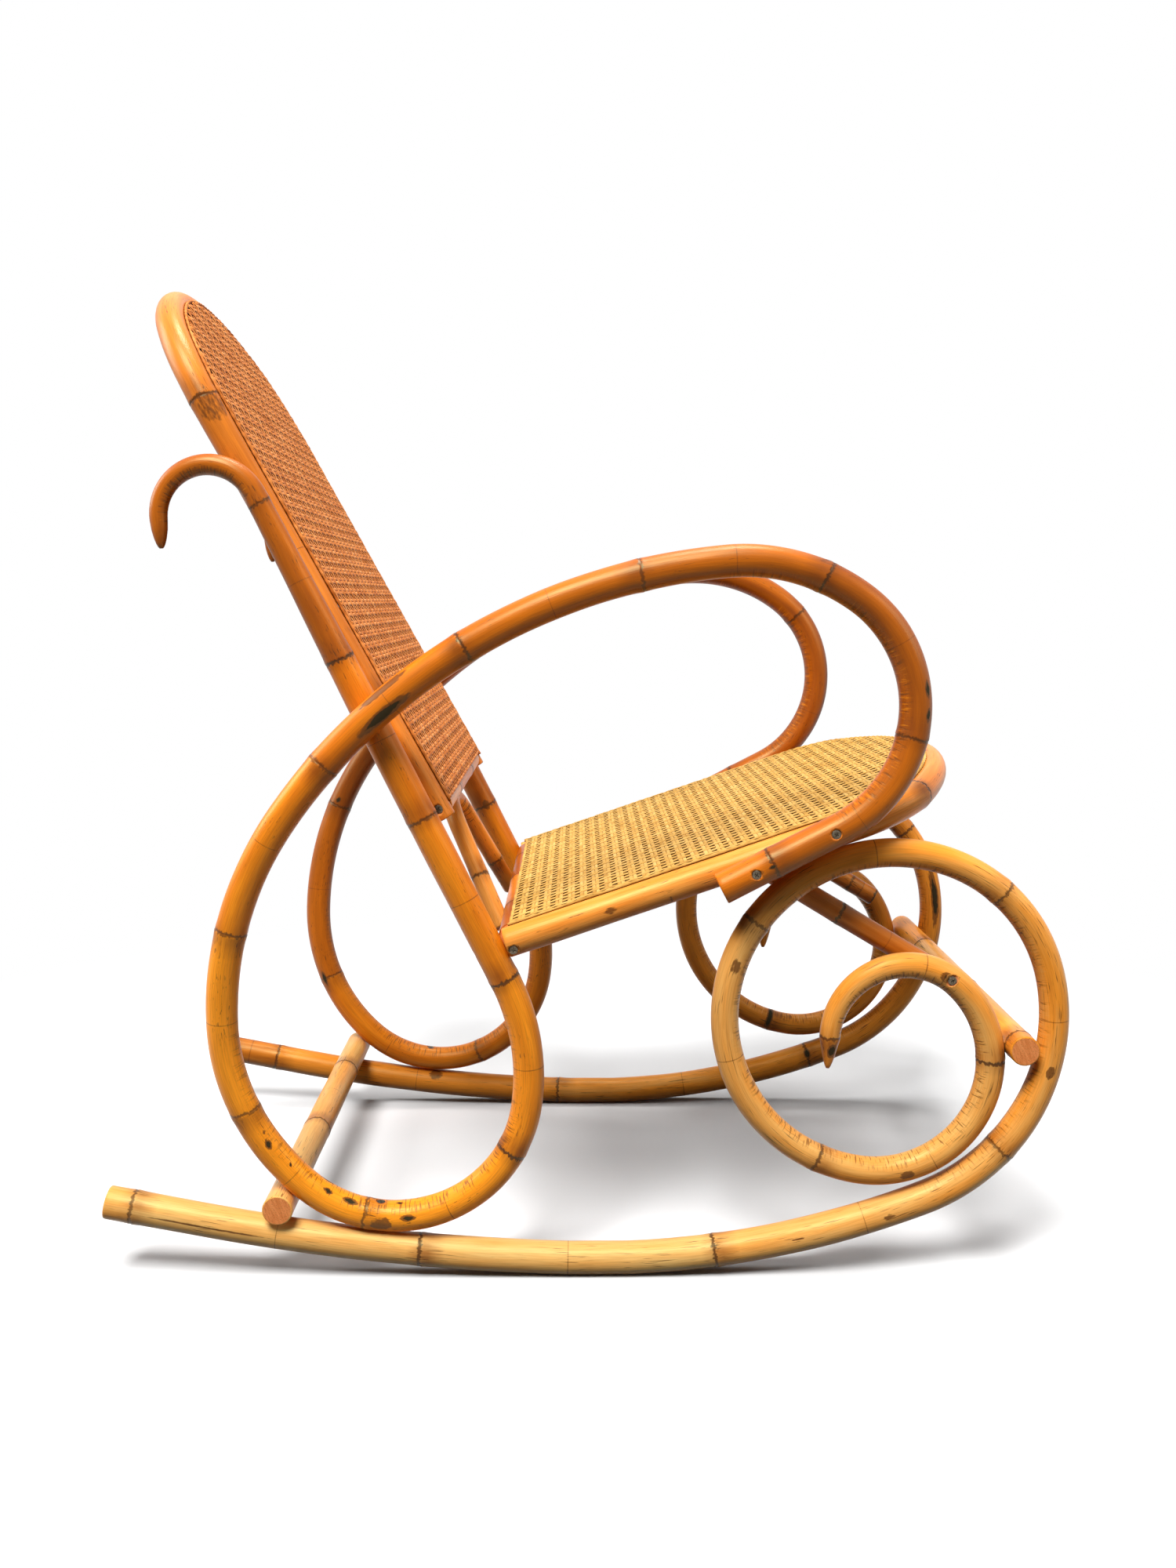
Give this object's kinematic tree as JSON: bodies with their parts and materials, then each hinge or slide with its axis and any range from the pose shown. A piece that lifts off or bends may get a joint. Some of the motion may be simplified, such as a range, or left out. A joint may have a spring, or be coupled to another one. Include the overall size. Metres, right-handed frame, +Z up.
{
  "type": "rocking chair",
  "caption": "Rocking chair of bent cane poles: each side has a looped arm and a runner that coils into a ring, with a woven seat and a woven arched back.",
  "frame": {"origin": "on the floor, under the middle of the chair's overall box", "axes": "+X forward, +Y towards the sitter's left, +Z up; the chair stands at rest on its runners"},
  "size_m": [1.0682, 0.6328, 1.1107],
  "materials": {
    "arm_cane": "satin lacquer, orange-caramel cane",
    "rocker_cane": "satin lacquer, straw-yellow cane",
    "frame_cane": "satin lacquer, tan cane",
    "woven_back": "woven split cane, tan-orange",
    "woven_seat": "woven split cane, straw-yellow",
    "screw_steel": "dull zinc-plated steel"
  },
  "bodies": {
    "root": {"arm_pole_left": "arm_cane", "arm_pole_right": "arm_cane", "front_stretcher": "rocker_cane", "rear_stretcher": "rocker_cane", "rocker_pole_left": "rocker_cane", "rocker_pole_right": "rocker_cane", "back_bottom_rail": "frame_cane", "back_frame": "frame_cane", "back_hoop": "frame_cane", "seat_cross_rail": "frame_cane", "seat_frame": "frame_cane", "seat_rear_rail": "frame_cane", "strut_left": "frame_cane", "strut_right": "frame_cane", "back_bead": "woven_back", "back_panel": "woven_back", "seat_bead": "woven_seat", "seat_panel": "woven_seat", "arm_screw_front_left": "screw_steel", "arm_screw_front_right": "screw_steel", "arm_screw_rear_left": "screw_steel", "arm_screw_rear_right": "screw_steel", "back_screw_high_left": "screw_steel", "back_screw_high_right": "screw_steel", "back_screw_low_left": "screw_steel", "back_screw_low_right": "screw_steel", "bottom_rail_screw_left": "screw_steel", "bottom_rail_screw_right": "screw_steel", "curl_screw_left": "screw_steel", "curl_screw_right": "screw_steel", "front_stretcher_screw_left": "screw_steel", "front_stretcher_screw_right": "screw_steel", "hoop_screw_left": "screw_steel", "hoop_screw_right": "screw_steel", "hoop_screw_top": "screw_steel", "loop_screw_left": "screw_steel", "loop_screw_right": "screw_steel", "rear_stretcher_screw_left": "screw_steel", "rear_stretcher_screw_right": "screw_steel", "ring_screw_left": "screw_steel", "ring_screw_right": "screw_steel", "seat_corner_screw_left": "screw_steel", "seat_corner_screw_right": "screw_steel", "strut_screw_top_left": "screw_steel", "strut_screw_top_right": "screw_steel", "upright_screw_left": "screw_steel", "upright_screw_right": "screw_steel"}
  },
  "joints": []
}
